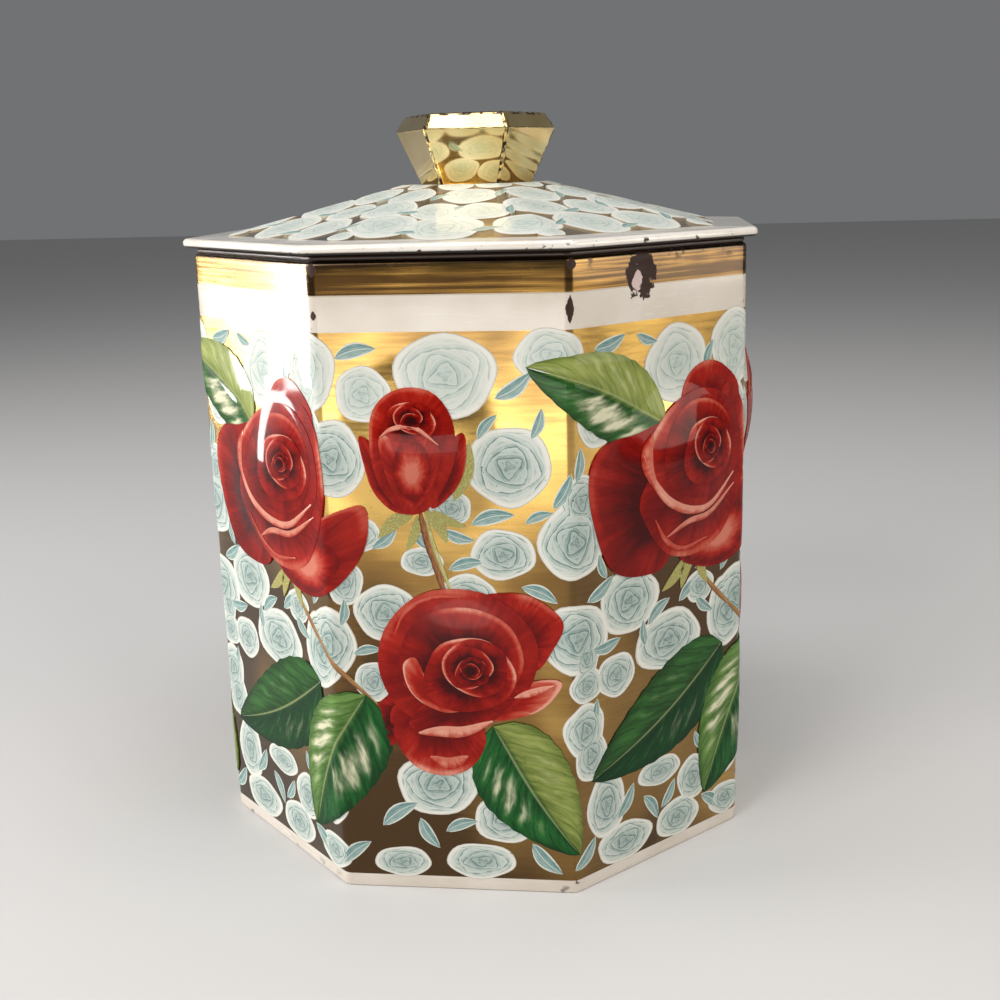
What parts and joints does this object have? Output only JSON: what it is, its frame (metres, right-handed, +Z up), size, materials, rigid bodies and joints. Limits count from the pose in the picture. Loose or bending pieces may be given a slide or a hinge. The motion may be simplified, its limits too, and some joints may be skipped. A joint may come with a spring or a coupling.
{
  "type": "lidded tin canister",
  "caption": "Eight-sided pressed tin canister with embossed floral panels and a lift-off lid with a faceted knob, for bobbins and sewing notions.",
  "frame": {"origin": "centre of the footprint, on the plane the tin stands on", "axes": "+Z up through the knob; -Y out of the front face, +X to the right of it"},
  "size_m": [0.127, 0.127, 0.1614],
  "materials": {
    "printed_tin": "glossy lithographed print over gold lacquer, a little worn",
    "gold_lacquer": "mirror-bright gold lacquer on tinplate",
    "bare_tin": "bare tinplate, satin",
    "rivet_steel": "plain steel, satin"
  },
  "bodies": {
    "canister": {"body_wall": "printed_tin", "base_plate": "gold_lacquer"},
    "lid": {"lid_panel": "printed_tin", "lid_collar": "bare_tin", "knob_cup": "gold_lacquer", "knob_cap": "gold_lacquer", "knob_rivet": "rivet_steel", "knob_washer": "rivet_steel"}
  },
  "joints": [
    {"name": "lid_lift", "type": "slide", "parent": "canister", "child": "lid", "axis": [0, 0, 1], "range_m": [0, 0.08]}
  ]
}
